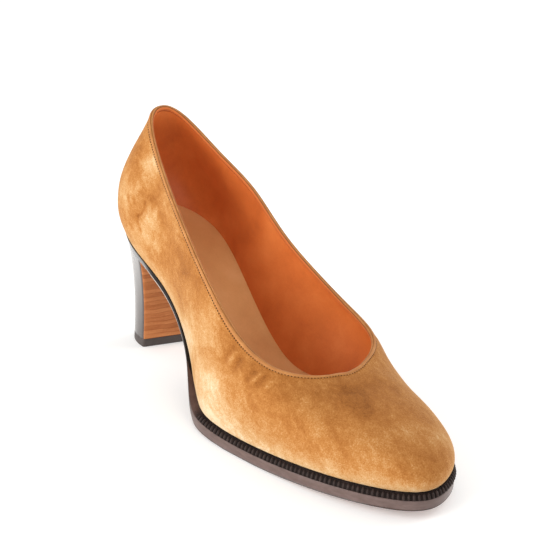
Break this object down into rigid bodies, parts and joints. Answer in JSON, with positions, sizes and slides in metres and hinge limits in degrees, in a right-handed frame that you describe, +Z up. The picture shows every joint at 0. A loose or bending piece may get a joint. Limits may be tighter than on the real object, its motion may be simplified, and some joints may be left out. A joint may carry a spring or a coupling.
{
  "type": "high heel court shoe",
  "caption": "Closed court shoe for the right foot with a low-cut opening, welted forefoot, arched leather sole and a tapered stacked heel.",
  "frame": {"origin": "middle of the shoe's box, on the floor it stands on", "axes": "+X to the toe, +Y to the wearer's left, +Z up"},
  "size_m": [0.223, 0.0802, 0.1228],
  "materials": {
    "sole_leather": "polished dark brown sole edge",
    "welt_leather": "black-brown ribbed welt",
    "heel_leather": "stacked leather, dark polished sides and a natural breast",
    "lift_rubber": "matt black tread",
    "suede": "camel suede with a soft nap",
    "binding_leather": "rolled tan edge",
    "insole_leather": "smooth tan lining leather"
  },
  "bodies": {
    "root": {"outsole": "sole_leather", "welt": "welt_leather", "heel_block": "heel_leather", "top_lift": "lift_rubber", "upper": "suede", "topline_binding": "binding_leather", "insole": "insole_leather"}
  },
  "joints": []
}
